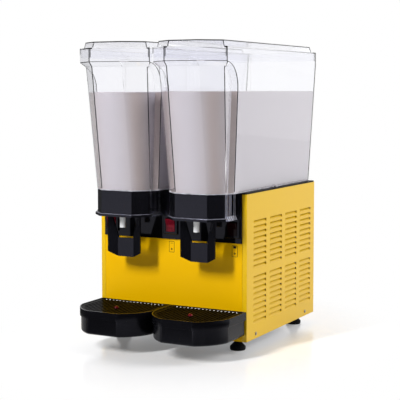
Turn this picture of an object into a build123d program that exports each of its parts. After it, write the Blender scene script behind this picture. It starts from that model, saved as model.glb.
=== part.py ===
from build123d import *
import math
import os

# Twin cold drink dispenser, millimetres, +Z up, front towards -Y.
# The origin is the middle of the footprint on the floor.

# Housing of bent sheet steel
HOUSING_W = 370.0
HOUSING_D = 384.0
HOUSING_H = 322.0
SHEET = 1.2
FLANGE = 11.0
PAN_H = 20.0
PANEL_GAP = 0.4
DECK_T = 3.0
CONTROL_H = 107.0
CONTROL_T = 3.0

# Rubber feet, with a stud through the base pan
FOOT_H = 26.0
FOOT_R = 17.5
FOOT_NECK_R = 7.5
FOOT_NECK_H = 8.0
FOOT_TREAD = 1.0
FOOT_RIM_H = 7.5
FOOT_INSET_X = 38.0
FOOT_INSET_Y = 35.0
STUD_R = 3.0
STUD_UP = 12.0

# Louvres bent into the side panels: two groups of rows in each column
LOUVRE_COLUMNS = 4
LOUVRE_ROWS = 9
LOUVRE_H = 7.0
LOUVRE_IN = 6.0
LOUVRE_SPLIT = 19.3
LOUVRE_FRONT = 34.0
LOUVRE_BACK = 24.1
LOUVRE_DROP = 60.0
LOUVRE_UP = 41.5

# Panel screws
SCREW_R = 4.0
SCREW_HEAD_H = 1.8
SCREW_SHANK_R = 2.0
SCREW_L = 8.0
SCREW_UP = 11.0
SCREW_FRONT = 47.0
SCREW_BACK = 56.0

# Rear panel vents and cable gland
VENT_ROWS = 8
VENT_L = 110.0
VENT_H = 4.0
VENT_PITCH = 14.0
VENT_INSET = 105.0
VENT_Z = 120.0
GLAND_INSET = 65.0
GLAND_Z = 70.0
GLAND_R = 8.0
GLAND_FLANGE_R = 13.0
GLAND_FLANGE_T = 5.0
GLAND_BORE_R = 4.0

# Rocker switches in the control panel
SWITCH_INSET = 32.0
SWITCH_DROP = 75.0
BEZEL_W = 36.0
BEZEL_H = 42.0
BEZEL_T = 4.0
SWITCH_WALL = 2.0
SWITCH_DEPTH = 22.0
ROCKER_W = 22.0
ROCKER_H = 29.0
ROCKER_GAP = 1.0
ROCKER_TILT = 8.0
ROCKER_DEPTH = 12.0
ROCKER_PIN_R = 2.0
CUTOUT_GAP = 0.3

# Bowls of clear plastic: a full outline at the rim, a narrower nose below it
BOWL_SPLIT = 7.0
BOWL_H = 308.0
BOWL_WALL = 3.0
BOWL_FLOOR = 4.0
RIM_H = 28.0
RIM_REACH = 130.0
RIM_CHAMFER = 42.0
RIM_SLOPE_H = 10.0
BOWL_TAPER = 10.0
BOWL_BACK = 12.0
BACK_TAPER = 18.0
NOSE_FACE_W = 77.0
NOSE_TOP_REACH = 121.0
NOSE_FLOOR_REACH = 82.0
NOSE_RECESS = 10.0
FLARE_REACH = 33.0
ARCH_DROP = 59.0
ARCH_SEAM = 1.0
ARCH_STEPS = 10
TAB_T = 3.0
TAB_LIP = 5.0
LUG_L = 14.0
LUG_OUT = 4.0
LUG_H = 5.0

# Lids
LID_H = 16.0
LID_WALL = 2.5
LID_INSET = 8.0
LID_DRAFT = 4.0
LID_SKIRT = 18.0
LID_GAP = 0.6

# Evaporator domes, gaskets, impellers and their drives
EVAPORATOR_BACK = 180.0
EVAPORATOR_R = 58.0
EVAPORATOR_H = 70.0
EVAPORATOR_WALL = 1.5
EVAPORATOR_FLANGE_R = 61.0
EVAPORATOR_FLANGE_T = 2.0
DOME_ROUND = 12.0
GASKET_T = 5.5
GASKET_H = 8.0
GASKET_GAP = 0.3
PIN_R = 3.0
PIN_H = 16.0
IMPELLER_R = 45.0
IMPELLER_HUB_R = 12.0
IMPELLER_H = 14.0
IMPELLER_GAP = 0.3
PADDLE_T = 3.0
PADDLES = 4
RUN_GAP = 0.08
MOTOR_R = 30.0
MOTOR_H = 48.0
MOTOR_PLATE = 110.0
MOTOR_PLATE_T = 2.0
DECK_HOLE_R = 44.0
SHAFT_R = 4.0
SHAFT_IN = 20.0
MAGNET_R = 26.0
MAGNET_H = 12.0
MAGNET_GAP = 3.0

# Tap: collar under the bowl's nose, barrel, piston, spring, spout and lever
COLLAR_H = 57.0
COLLAR_WALL = 2.5
COLLAR_OUT = 1.0
COLLAR_BACK = 6.0
COLLAR_LIP = 5.0
COLLAR_LIP_H = 7.0
SEAT_GAP = 0.3
TAP_REACH = 57.0
BARREL_R = 9.5
BARREL_BORE_R = 7.5
BARREL_H = 54.0
BARREL_FLANGE_R = 15.0
BARREL_FLANGE_T = 3.0
SPOUT_R = 6.5
SPOUT_BORE_R = 4.5
SPOUT_DROP = 26.0
SPOUT_PLUG_H = 8.0
PISTON_GAP = 0.2
PISTON_H = 31.0
PISTON_TIP_H = 6.0
PISTON_BORE_R = 4.5
PORT_R = 2.5
STUB_R = 2.0
STUB_REACH = 16.0
PISTON_LIFT = 3.375
SPRING_WIRE = 1.4
SPRING_TURNS = 5
WIRE_SIDES = 6
PIVOT_REACH = 70.0
PIVOT_DROP = 36.0
PIVOT_R = 2.5
EYE_R = 5.5
EAR_T = 4.0
EAR_GAP = 2.0
ARM_W = 9.0
LEVER_W = 84.0
LEVER_FACE_W = 40.0
LEVER_REACH = 45.0
LEVER_CUP = 8.0
LEVER_T = 4.0
LEVER_DROP = 93.0
PAD_H = 42.0
PAD_CORNER = 10.5
WINDOW_TOP_W = 66.0
WINDOW_FOOT_W = 37.0
FINGER_W = 6.0
FINGER_GAP = 0.5
FINGER_T = 5.0

# Drip trays, grilles and floats
TRAY_REACH = 147.0
TRAY_SPLIT = 2.0
TRAY_NOSE_W = 80.0
TRAY_SIDE = 82.5
TRAY_CORNER_R = 100.0
TRAY_CREASE_R = 18.0
TRAY_H = 53.0
TRAY_UP = 14.0
TRAY_LIP_H = 18.0
TRAY_STEP = 2.5
TRAY_WALL = 2.5
TRAY_ROUND = 5.0
TRAY_GAP = 0.4
TONGUE_W = 22.0
TONGUE_T = 4.0
TONGUE_L = 14.0
TONGUE_X = 55.0
TONGUE_UP = 36.0
GRILLE_T = 4.0
GRILLE_GAP = 0.6
GRILLE_SKIRT = 2.0
GRILLE_EDGE = 5.0
GRILLE_SUNK = 1.0
SLOT_W = 4.4
SLOT_PITCH = 9.2
SLOT_RAMP = 2.2
SLOTS = 19
FLOAT_REACH = 85.0
FLOAT_R = 11.0
FLOAT_H = 10.0
FLOAT_STEM_R = 4.0
FLOAT_DOME_R = 5.5
FLOAT_DOME_H = 8.0
FLOAT_HOLE_GAP = 0.5
FLOAT_RING = 2.5
GUIDE_R = 2.0
GUIDE_H = 24.0
GUIDE_GAP = 0.3

# Cooling set inside the housing
COMPRESSOR_INSET = 97.0
COMPRESSOR_REAR_GAP = 116.0
COMPRESSOR_R = 68.0
COMPRESSOR_H = 150.0
COMPRESSOR_ROUND = 30.0
COMPRESSOR_PLATE = 170.0
COMPRESSOR_PLATE_T = 3.0
MOUNT_R = 10.0
MOUNT_H = 14.0
MOUNT_INSET = 14.0
CONDENSER_T = 40.0
CONDENSER_L = 210.0
CONDENSER_H = 196.0
CONDENSER_REAR_GAP = 64.0
CONDENSER_SIDE_GAP = 16.0
FINS = 26
FIN_T = 2.0
FIN_DEPTH = 16.0
SHROUD_T = 2.0
SHROUD_RING = 12.0
FAN_R = 84.0
FAN_TIP_GAP = 3.0
FAN_HUB_R = 20.0
FAN_HUB_L = 16.0
FAN_BLADES = 5
BLADE_T = 1.6
BLADE_W = 36.0
BLADE_PITCH = 24.0
FAN_MOTOR_R = 34.0
FAN_MOTOR_L = 50.0
FAN_SHAFT_R = 4.0
FAN_SHAFT_GAP = 6.0
BRACKET_W = 44.0
BRACKET_T = 3.0
DRIER_R = 11.0
DRIER_L = 100.0
DRIER_NECK_R = 4.0
PIPE_R = 4.0
BEND_R = 14.0
THERMOSTAT_W = 46.0
THERMOSTAT_D = 28.0
THERMOSTAT_H = 34.0

# Levels and places worked out from the sizes above
FRONT = (TRAY_REACH - HOUSING_D - BOWL_BACK) / 2
REAR = FRONT + HOUSING_D
SIDE = HOUSING_W / 2
BASE = FOOT_H
TOP = BASE + HOUSING_H
DECK = TOP + DECK_T
PAN_FLOOR = BASE + SHEET
BOWL_PITCH = HOUSING_W / 2
RIM_W = BOWL_PITCH - BOWL_SPLIT
RIM_TOP = DECK + BOWL_H
RIM_Z = RIM_TOP - RIM_H
CONTROL_FACE = FRONT - CONTROL_T
COLLAR_Z = DECK - COLLAR_H
EVAPORATOR_Y = FRONT + EVAPORATOR_BACK
DOME_TOP = DECK + EVAPORATOR_H
TAP_Y = FRONT - TAP_REACH
PIVOT_Y = FRONT - PIVOT_REACH
PIVOT_Z = DECK - PIVOT_DROP
SWITCH_X = SIDE - SWITCH_INSET
SWITCH_Z = TOP - SWITCH_DROP
GLAND_X = SIDE - GLAND_INSET
VENT_X = SIDE - VENT_INSET
COMPRESSOR_X = COMPRESSOR_INSET - SIDE
LOUVRE_SPAN = HOUSING_D - LOUVRE_FRONT - LOUVRE_BACK + LOUVRE_SPLIT
COLUMN_PITCH = LOUVRE_SPAN / LOUVRE_COLUMNS
LOUVRE_L = COLUMN_PITCH - LOUVRE_SPLIT
LOUVRE_PITCH = (HOUSING_H - LOUVRE_DROP - LOUVRE_UP) / (2 * LOUVRE_ROWS)
TRAY_W = HOUSING_W / 2 - TRAY_SPLIT
TRAY_FRONT = FRONT - TRAY_REACH
CORNER_RUN = (TRAY_W - TRAY_NOSE_W) / 2
CORNER_RISE = TRAY_REACH - TRAY_SIDE
CORNER_BACK = math.sqrt((2 * TRAY_CORNER_R) ** 2 / (CORNER_RUN ** 2 + CORNER_RISE ** 2) - 1) / 2
CORNER_X = (TRAY_W + TRAY_NOSE_W) / 4 - CORNER_RISE * CORNER_BACK
CORNER_Y = TRAY_FRONT + CORNER_RISE / 2 + CORNER_RUN * CORNER_BACK
TRAY_Z = BASE + TRAY_UP
TRAY_TOP = TRAY_Z + TRAY_H
GRILLE_TOP = TRAY_TOP - GRILLE_SUNK
FLOAT_Y = FRONT - FLOAT_REACH
SIDES = (("left", -1), ("right", 1))
HALF_TURN = 180
# How far a corner of 45 degrees slides along its face for each millimetre of inset
CORNER_SLIDE = math.tan(math.radians(HALF_TURN / 8))

os.makedirs("parts", exist_ok=True)


def block(xs, ys, zs):
    """Box between a low and a high value along each axis."""
    return Pos(sum(xs) / 2, sum(ys) / 2, sum(zs) / 2) * Box(xs[1] - xs[0], ys[1] - ys[0], zs[1] - zs[0])


def upright(x, y, zs, radius):
    """Cylinder along Z."""
    return Pos(x, y, sum(zs) / 2) * Cylinder(radius, zs[1] - zs[0])


def along_x(xs, y, z, radius):
    """Cylinder along X."""
    return Pos(sum(xs) / 2, y, z) * Rot(0, 90, 0) * Cylinder(radius, xs[1] - xs[0])


def along_y(x, ys, z, radius):
    """Cylinder along Y."""
    return Pos(x, sum(ys) / 2, z) * Rot(90, 0, 0) * Cylinder(radius, ys[1] - ys[0])


def prism(points, direction):
    """Flat outline of 3-D points pushed along a direction."""
    reach = Vector(*direction)
    return extrude(make_face(Polyline(*points, close=True)), amount=reach.length, dir=reach.normalized())


def mirrored_face(half, x, z):
    """Level outline from its right half, front to back, about the line at x."""
    points = half + [(-px, py) for px, py in reversed(half)]
    return Pos(x, 0, z) * make_face(Polyline(*points, close=True))


def save(name, shape):
    export_step(shape, f"parts/{name}.step")


# Base pan: a folded tray that the feet, the panels and the cooling set stand on
pan_x = (-SIDE + SHEET, SIDE - SHEET)
pan_y = (FRONT + SHEET, REAR - SHEET)
foot_places = [(sx * (SIDE - FOOT_INSET_X), y)
               for sx in (-1, 1) for y in (FRONT + FOOT_INSET_Y, REAR - FOOT_INSET_Y)]
base_pan = block(pan_x, pan_y, (BASE, BASE + PAN_H))
base_pan -= block((pan_x[0] + SHEET, pan_x[1] - SHEET), (pan_y[0] + SHEET, pan_y[1] - SHEET),
                  (PAN_FLOOR, BASE + PAN_H))
base_pan -= [upright(x, y, (BASE, PAN_FLOOR), STUD_R + SEAT_GAP) for x, y in foot_places]

# Rubber feet: flared below, waisted above, each with a steel stud up through the pan
foot_profile = make_face(Polyline(
    (0, 0), (FOOT_R - FOOT_TREAD, 0), (FOOT_R, FOOT_RIM_H / 3), (FOOT_R, FOOT_RIM_H),
    (FOOT_NECK_R, FOOT_H - FOOT_NECK_H), (FOOT_NECK_R, FOOT_H), (STUD_R, FOOT_H),
    (STUD_R, FOOT_H + STUD_UP), (0, FOOT_H + STUD_UP), close=True))
foot = revolve(Plane.XZ * foot_profile, Axis.Z)
save("rubber_feet", Compound(children=[Pos(x, y, 0) * foot for x, y in foot_places]))

# Side panels: returns at the front, back and top, and rows of louvres, each cut on three sides
# and bent inwards along its foot
side_panel = block((SIDE - SHEET, SIDE), (FRONT, REAR), (BASE, TOP))
side_panel += block((SIDE - FLANGE, SIDE), (FRONT, FRONT + SHEET), (BASE, TOP))
side_panel += block((SIDE - FLANGE, SIDE), (REAR - SHEET, REAR), (BASE, TOP))
side_panel += block((SIDE - FLANGE, SIDE), (FRONT, REAR), (TOP - SHEET, TOP))
windows = []
vanes = []
for column in range(LOUVRE_COLUMNS):
    y = FRONT + LOUVRE_FRONT + column * COLUMN_PITCH
    for row in range(2 * LOUVRE_ROWS + 1):
        if row == LOUVRE_ROWS:
            continue
        z = TOP - LOUVRE_DROP - row * LOUVRE_PITCH
        foot_z = z - LOUVRE_H
        windows.append(block((SIDE - SHEET, SIDE), (y, y + LOUVRE_L), (foot_z, z)))
        vane = [(SIDE, y, foot_z), (SIDE - LOUVRE_IN, y, z), (SIDE - LOUVRE_IN - SHEET, y, z),
                (SIDE - SHEET, y, foot_z)]
        vanes.append(prism(vane, (0, LOUVRE_L, 0)))
side_panel = side_panel - windows + vanes
screw_places = [(y, BASE + SCREW_UP) for y in (FRONT + SCREW_FRONT, REAR - SCREW_BACK)]
for y, z in screw_places:
    side_panel -= along_x((SIDE - SHEET, SIDE), y, z, SCREW_SHANK_R)
    base_pan -= along_x((pan_x[1] - SHEET, pan_x[1]), y, z, SCREW_SHANK_R)
    base_pan -= along_x((pan_x[0], pan_x[0] + SHEET), y, z, SCREW_SHANK_R)
save("base_pan", base_pan)
save("side_panel_right", side_panel)
save("side_panel_left", mirror(side_panel, Plane.YZ))

# Panel screws: low domed heads on the side panels, shanks into the pan's turned-up edge
screws = []
for sx in (-1, 1):
    for y, z in screw_places:
        head = along_x((SIDE, SIDE + SCREW_HEAD_H), y, z, SCREW_R)
        head = fillet(head.edges().sort_by(Axis.X)[-1], SCREW_HEAD_H * 0.7)
        screw = head + along_x((SIDE - SCREW_L, SIDE), y, z, SCREW_SHANK_R)
        screws.append(screw if sx > 0 else mirror(screw, Plane.YZ))
save("panel_screws", Compound(children=screws))

# Switch cut-outs, shared by the front panel and the control panel
switch_places = [("left", -SWITCH_X), ("middle", 0.0), ("right", SWITCH_X)]
body_w = ROCKER_W + 2 * (ROCKER_GAP + SWITCH_WALL)
body_h = ROCKER_H + 2 * (ROCKER_GAP + SWITCH_WALL)
cut_w = body_w / 2 + CUTOUT_GAP
cut_h = body_h / 2 + CUTOUT_GAP
cutouts = [block((x - cut_w, x + cut_w), (CONTROL_FACE, FRONT + SHEET),
                 (SWITCH_Z - cut_h, SWITCH_Z + cut_h)) for _, x in switch_places]

# Front panel: one plate between the side returns, slotted for the drip trays' tongues
panel_half = SIDE - FLANGE - PANEL_GAP
tray_places = [(name, sx * (TRAY_W + TRAY_SPLIT) / 2) for name, sx in SIDES]
tongue_z = TRAY_Z + TONGUE_UP
tongue_places = [x + dx for _, x in tray_places for dx in (-TONGUE_X, TONGUE_X)]
slot_half = TONGUE_W / 2 + TRAY_GAP
tongue_slots = [block((x - slot_half, x + slot_half), (FRONT, FRONT + SHEET),
                      (tongue_z - TRAY_GAP, tongue_z + TONGUE_T + TRAY_GAP)) for x in tongue_places]
front_panel = block((-panel_half, panel_half), (FRONT, FRONT + SHEET), (BASE, TOP))
for sx in (-1, 1):
    front_panel += block(sorted((sx * panel_half, sx * (panel_half - SHEET))), (FRONT, FRONT + FLANGE),
                         (BASE + PAN_H + PANEL_GAP, TOP - SHEET - PANEL_GAP))
front_panel = front_panel - tongue_slots - cutouts
save("front_panel", front_panel)

# Control panel: a glossy plate over the top of the front panel
control_panel = block((-panel_half, panel_half), (CONTROL_FACE, FRONT), (TOP - CONTROL_H, TOP)) - cutouts
save("control_panel", control_panel)

# Rear panel: two columns of vents and the gland's hole
rear_panel = block((-panel_half, panel_half), (REAR - SHEET, REAR), (BASE, TOP))
for row in range(VENT_ROWS):
    z = BASE + VENT_Z + row * VENT_PITCH
    for sx in (-1, 1):
        slot = Pos(sx * VENT_X, REAR - SHEET, z) * (Plane.XZ * SlotOverall(VENT_L, VENT_H))
        rear_panel -= extrude(slot, amount=SHEET, dir=(0, 1, 0))
rear_panel -= along_y(GLAND_X, (REAR - SHEET, REAR), BASE + GLAND_Z, GLAND_R)
save("rear_panel", rear_panel)

# Cable gland in the rear panel
gland_z = BASE + GLAND_Z
gland_in = REAR - SHEET - GLAND_FLANGE_T
gland_out = REAR + GLAND_FLANGE_T
cable_gland = along_y(GLAND_X, (REAR, gland_out), gland_z, GLAND_FLANGE_R)
cable_gland = fillet(cable_gland.edges().sort_by(Axis.Y)[-1], GLAND_FLANGE_T * 0.4)
cable_gland += along_y(GLAND_X, (gland_in, REAR), gland_z, GLAND_R)
cable_gland += along_y(GLAND_X, (gland_in, REAR - SHEET), gland_z, GLAND_R + SHEET)
cable_gland -= along_y(GLAND_X, (gland_in, gland_out), gland_z, GLAND_BORE_R)
save("cable_gland", cable_gland)

# Top deck: a dark plate over the whole housing, with a hole under each evaporator
bowl_places = [(name, sx * BOWL_PITCH / 2) for name, sx in SIDES]
suction_x = [(name, x - math.copysign(EVAPORATOR_FLANGE_R - 2 * PIPE_R, x)) for name, x in bowl_places]
top_deck = block((-SIDE, SIDE), (CONTROL_FACE, REAR), (TOP, DECK))
top_deck = fillet(top_deck.edges().filter_by(Axis.Z), FLANGE / 2)
top_deck -= [upright(x, EVAPORATOR_Y, (TOP, DECK), DECK_HOLE_R) for _, x in bowl_places]
top_deck -= [upright(x, EVAPORATOR_Y, (TOP, DECK), PIPE_R + SEAT_GAP) for _, x in suction_x]
save("top_deck", top_deck)

# Rocker switches: a frame with a body behind the panel, and a rocker on two stubs
for name, x in switch_places:
    mouth_w = ROCKER_W / 2 + ROCKER_GAP
    mouth_h = ROCKER_H / 2 + ROCKER_GAP
    bezel = block((x - BEZEL_W / 2, x + BEZEL_W / 2), (CONTROL_FACE - BEZEL_T, CONTROL_FACE),
                  (SWITCH_Z - BEZEL_H / 2, SWITCH_Z + BEZEL_H / 2))
    bezel = chamfer(bezel.faces().sort_by(Axis.Y)[0].edges(), BEZEL_T * 0.4)
    frame = bezel + block((x - body_w / 2, x + body_w / 2), (CONTROL_FACE, CONTROL_FACE + SWITCH_DEPTH),
                          (SWITCH_Z - body_h / 2, SWITCH_Z + body_h / 2))
    frame -= block((x - mouth_w, x + mouth_w),
                   (CONTROL_FACE - BEZEL_T, CONTROL_FACE + SWITCH_DEPTH - SWITCH_WALL),
                   (SWITCH_Z - mouth_h, SWITCH_Z + mouth_h))
    pin_reach = mouth_w + SWITCH_WALL
    frame -= along_x((x - pin_reach, x + pin_reach), CONTROL_FACE, SWITCH_Z, ROCKER_PIN_R + RUN_GAP)
    save(f"switch_frame_{name}", frame)
    face_y = CONTROL_FACE - BEZEL_T
    dip = ROCKER_H / 2 * math.tan(math.radians(ROCKER_TILT))
    back_y = face_y + ROCKER_DEPTH
    waist_y = face_y + ROCKER_DEPTH / 2
    half_h = ROCKER_H / 2
    outline = [(face_y - dip, -half_h), (face_y, 0.0), (face_y - dip, half_h),
               (waist_y, half_h - dip), (back_y, 0.0), (waist_y, dip - half_h)]
    rocker = prism([(x - ROCKER_W / 2, y, SWITCH_Z + dz) for y, dz in outline], (ROCKER_W, 0, 0))
    stub_half = pin_reach - RUN_GAP
    rocker += along_x((x - stub_half, x + stub_half), CONTROL_FACE, SWITCH_Z, ROCKER_PIN_R)
    turn = Pos(x, CONTROL_FACE, SWITCH_Z) * Rot(ROCKER_TILT, 0, 0) * Pos(-x, -CONTROL_FACE, -SWITCH_Z)
    save(f"rocker_{name}", turn * rocker)


# Bowl outlines: the right half from front to back, moved in by an inset
def rim_half(inset):
    side = RIM_W / 2 - inset
    turn = inset * CORNER_SLIDE
    front = FRONT - RIM_REACH
    return [(NOSE_FACE_W / 2 - turn, front + inset), (side, front + RIM_CHAMFER + turn),
            (side, REAR + BOWL_BACK - inset)]


def bowl_half(z, inset):
    share = (z - DECK) / (RIM_Z - DECK)
    side = RIM_W / 2 - BOWL_TAPER * (1 - share) - inset
    face = NOSE_FACE_W / 2 - inset * CORNER_SLIDE
    front = FRONT - NOSE_FLOOR_REACH - (NOSE_TOP_REACH - NOSE_FLOOR_REACH) * share + inset
    return [(face, front), (side, front + side - face),
            (side, REAR + BOWL_BACK - BACK_TAPER * (1 - share) - inset)]


def arch_outline(x, sx, inset, out):
    """Outline of the recess beside the nose, in a plane that leans with the bowl's side."""
    turn = inset * CORNER_SLIDE
    arch_top = RIM_Z - ARCH_SEAM + turn
    arch_z = RIM_Z - ARCH_DROP
    front = FRONT - RIM_REACH
    arch_y = front + RIM_CHAMFER
    reach = RIM_REACH - RIM_CHAMFER - FLARE_REACH - NOSE_RECESS + turn + out
    rise = arch_top - arch_z - NOSE_RECESS + out
    corner = [(front - NOSE_RECESS, DECK - BOWL_FLOOR), (arch_y + reach, DECK - BOWL_FLOOR)]
    for k in range(ARCH_STEPS + 1):
        angle = math.radians(90 * k / ARCH_STEPS)
        corner.append((arch_y + reach * math.cos(angle), arch_z + rise * math.sin(angle)))
    corner.append((front - NOSE_RECESS, arch_z + rise))
    points = []
    for y, z in corner:
        side = bowl_half(z, inset)[1][0] - NOSE_RECESS + out
        points.append((x + sx * side, y, z))
    return make_face(Polyline(*points, close=True))


def bowl_form(x, inset, floor, top):
    """Outer form of a bowl, or its hollow when moved in by the wall."""
    slope_z = RIM_Z - RIM_SLOPE_H + inset * CORNER_SLIDE
    rim_z = RIM_Z + inset * CORNER_SLIDE
    form = loft([mirrored_face(bowl_half(floor, inset), x, floor),
                 mirrored_face(bowl_half(slope_z, inset), x, slope_z)], ruled=True)
    form += loft([mirrored_face(bowl_half(slope_z, inset), x, slope_z),
                  mirrored_face(rim_half(inset), x, rim_z)], ruled=True)
    for sx in (-1, 1):
        form -= loft([arch_outline(x, sx, inset, 0.0),
                      arch_outline(x, sx, inset, 2 * NOSE_RECESS)], ruled=True)
    form += extrude(mirrored_face(rim_half(inset), x, rim_z), amount=top - rim_z)
    return form


# Bowls: shell, outlet hole, hole over the evaporator, clear side tabs and locating lugs
gasket_r = EVAPORATOR_R + GASKET_GAP + GASKET_T
for name, x in bowl_places:
    bowl = bowl_form(x, 0.0, DECK, RIM_TOP) - bowl_form(x, BOWL_WALL, DECK + BOWL_FLOOR, RIM_TOP + RIM_H)
    bowl -= upright(x, EVAPORATOR_Y, (DECK, DECK + BOWL_FLOOR), gasket_r + GASKET_GAP)
    bowl -= upright(x, TAP_Y, (DECK, DECK + BOWL_FLOOR), PISTON_BORE_R)
    floor_side = bowl_half(DECK, 0.0)[-1][0]
    tab_x = floor_side - NOSE_RECESS
    tab_y = (FRONT - NOSE_FLOOR_REACH + tab_x - NOSE_FACE_W / 2, CONTROL_FACE - COLLAR_BACK)
    for sx in (-1, 1):
        bowl += block(sorted((x + sx * (tab_x - TAB_T), x + sx * tab_x)), tab_y,
                      (COLLAR_Z, DECK + BOWL_FLOOR))
        lip = [(tab_x, COLLAR_Z), (tab_x + TAB_LIP, COLLAR_Z), (tab_x, COLLAR_Z + 2 * TAB_LIP)]
        bowl += prism([(x + sx * dx, tab_y[0], z) for dx, z in lip], (0, tab_y[1] - tab_y[0], 0))
        bowl += block(sorted((x + sx * (floor_side - BOWL_WALL), x + sx * (floor_side + LUG_OUT))),
                      (EVAPORATOR_Y - LUG_L / 2, EVAPORATOR_Y + LUG_L / 2), (DECK, DECK + LUG_H))
    save(f"bowl_{name}", bowl)

# Lids: a flange on the rim, a raised panel with sloped sides, and a skirt inside the rim
for name, x in bowl_places:
    crown = RIM_TOP + LID_H
    lid = extrude(mirrored_face(rim_half(0.0), x, RIM_TOP), amount=LID_WALL)
    raised = LID_INSET + LID_DRAFT
    lid += loft([mirrored_face(rim_half(LID_INSET), x, RIM_TOP),
                 mirrored_face(rim_half(raised), x, crown)], ruled=True)
    lid -= loft([mirrored_face(rim_half(LID_INSET + LID_WALL), x, RIM_TOP),
                 mirrored_face(rim_half(raised + LID_WALL), x, crown - LID_WALL)], ruled=True)
    skirt_z = RIM_TOP - LID_SKIRT
    skirt = BOWL_WALL + LID_GAP
    lid += (extrude(mirrored_face(rim_half(skirt), x, skirt_z), amount=LID_SKIRT)
            - extrude(mirrored_face(rim_half(skirt + LID_WALL), x, skirt_z), amount=LID_SKIRT))
    save(f"lid_{name}", lid)

# Evaporator domes: spun stainless cups on the deck, each with the impeller's pin on top
for name, x in bowl_places:
    dome = upright(x, EVAPORATOR_Y, (DECK, DOME_TOP), EVAPORATOR_R)
    dome = fillet(dome.edges().sort_by(Axis.Z)[-1], DOME_ROUND)
    dome += upright(x, EVAPORATOR_Y, (DECK, DECK + EVAPORATOR_FLANGE_T), EVAPORATOR_FLANGE_R)
    hollow = upright(x, EVAPORATOR_Y, (DECK, DOME_TOP - EVAPORATOR_WALL), EVAPORATOR_R - EVAPORATOR_WALL)
    dome -= fillet(hollow.edges().sort_by(Axis.Z)[-1], DOME_ROUND - EVAPORATOR_WALL)
    dome += upright(x, EVAPORATOR_Y, (DOME_TOP, DOME_TOP + PIN_H), PIN_R)
    for _, pipe_x in suction_x:
        if abs(pipe_x - x) < EVAPORATOR_FLANGE_R:
            dome += upright(pipe_x, EVAPORATOR_Y, (DECK, DECK + EVAPORATOR_FLANGE_T), PIPE_R + SEAT_GAP)
    save(f"evaporator_{name}", dome)

# Bowl gaskets: rings round the foot of each dome
for name, x in bowl_places:
    gasket_z = (DECK + EVAPORATOR_FLANGE_T, DECK + EVAPORATOR_FLANGE_T + GASKET_H)
    gasket = upright(x, EVAPORATOR_Y, gasket_z, gasket_r)
    gasket -= upright(x, EVAPORATOR_Y, gasket_z, EVAPORATOR_R)
    gasket = chamfer(gasket.edges().group_by(Axis.Z)[-1], GASKET_T * 0.3)
    save(f"bowl_gasket_{name}", gasket)

# Impellers: a hub on the dome's pin with upright paddles
for name, x in bowl_places:
    hub_z = (DOME_TOP + IMPELLER_GAP, DOME_TOP + IMPELLER_GAP + IMPELLER_H)
    impeller = upright(x, EVAPORATOR_Y, hub_z, IMPELLER_HUB_R)
    for k in range(PADDLES):
        paddle = block((0, IMPELLER_R), (-PADDLE_T / 2, PADDLE_T / 2), (hub_z[0], hub_z[1]))
        paddle = fillet(paddle.edges().filter_by(Axis.Y).sort_by(Axis.X)[-1], IMPELLER_H * 0.4)
        impeller += Pos(x, EVAPORATOR_Y, 0) * Rot(0, 0, 360 / PADDLES * k) * paddle
    impeller -= upright(x, EVAPORATOR_Y, hub_z, PIN_R + RUN_GAP)
    save(f"impeller_{name}", impeller)

# Stirrer motors under the deck, and the drive magnet on each motor's shaft inside the dome
magnet_top = DOME_TOP - EVAPORATOR_WALL - MAGNET_GAP
for name, x in bowl_places:
    plate_z = (TOP - MOTOR_PLATE_T, TOP)
    motor_z = (plate_z[0] - MOTOR_H, plate_z[0])
    motor = block((x - MOTOR_PLATE / 2, x + MOTOR_PLATE / 2),
                  (EVAPORATOR_Y - MOTOR_PLATE / 2, EVAPORATOR_Y + MOTOR_PLATE / 2), plate_z)
    motor = fillet(motor.edges().filter_by(Axis.Z), MOTOR_PLATE * 0.1)
    can = upright(x, EVAPORATOR_Y, motor_z, MOTOR_R)
    motor += fillet(can.edges().sort_by(Axis.Z)[0], MOTOR_R * 0.2)
    motor -= upright(x, EVAPORATOR_Y, (TOP - SHAFT_IN, TOP), SHAFT_R + RUN_GAP)
    for _, pipe_x in suction_x:
        motor -= upright(pipe_x, EVAPORATOR_Y, plate_z, PIPE_R + SEAT_GAP)
    save(f"stir_motor_{name}", motor)
    magnet = upright(x, EVAPORATOR_Y, (magnet_top - MAGNET_H, magnet_top), MAGNET_R)
    magnet = chamfer(magnet.edges().group_by(Axis.Z)[-1], MAGNET_H * 0.15)
    magnet += upright(x, EVAPORATOR_Y, (TOP - SHAFT_IN + SEAT_GAP, magnet_top - MAGNET_H), SHAFT_R)
    save(f"drive_magnet_{name}", magnet)

# Tap collars: an open skirt under the nose, with a lip below and ears for the lever's pin
collar_half = bowl_half(DECK, 0.0)[-1][0] - NOSE_RECESS - TAB_T - SEAT_GAP
collar_front = FRONT - NOSE_FLOOR_REACH - COLLAR_OUT
collar_back = CONTROL_FACE - COLLAR_BACK
collar_face = NOSE_FACE_W / 2
ear_x = LEVER_W / 2 + EAR_GAP


def collar_outline(out):
    """Right half of the collar's outline, moved out by a distance."""
    face = collar_face + out * CORNER_SLIDE
    side = collar_half + min(out, 0)
    front = collar_front - out
    return [(face, front), (side, front + side - face), (side, collar_back)]


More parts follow.
